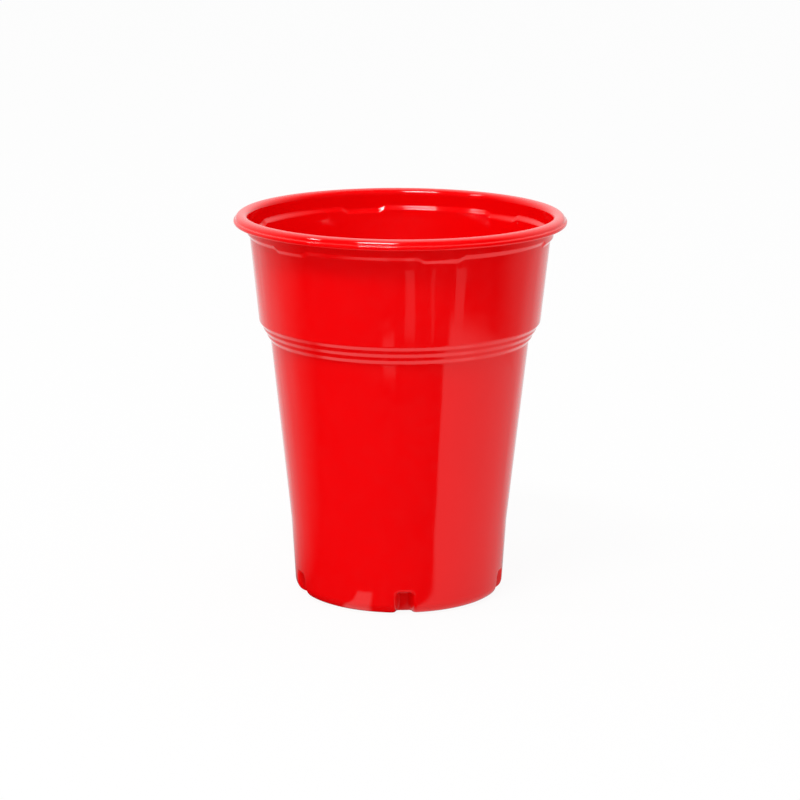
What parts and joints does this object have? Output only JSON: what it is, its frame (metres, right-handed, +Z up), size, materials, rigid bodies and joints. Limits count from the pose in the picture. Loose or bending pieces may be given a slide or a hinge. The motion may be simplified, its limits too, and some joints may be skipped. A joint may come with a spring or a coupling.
{
  "type": "plastic cup",
  "caption": "Tapered thin-walled drinking cup with a rolled rim, a castellated stacking ledge, stepped grip rings and a pocketed foot.",
  "frame": {"origin": "centre of the foot ring, on the surface that the cup stands on", "axes": "+Z up along the cup's axis, -Y towards the front, where one foot pocket faces"},
  "size_m": [0.0702, 0.0702, 0.0818],
  "materials": {
    "red_plastic": "glossy thermoformed polystyrene sheet, opaque red"
  },
  "bodies": {
    "root": {"cup": "red_plastic"}
  },
  "joints": []
}
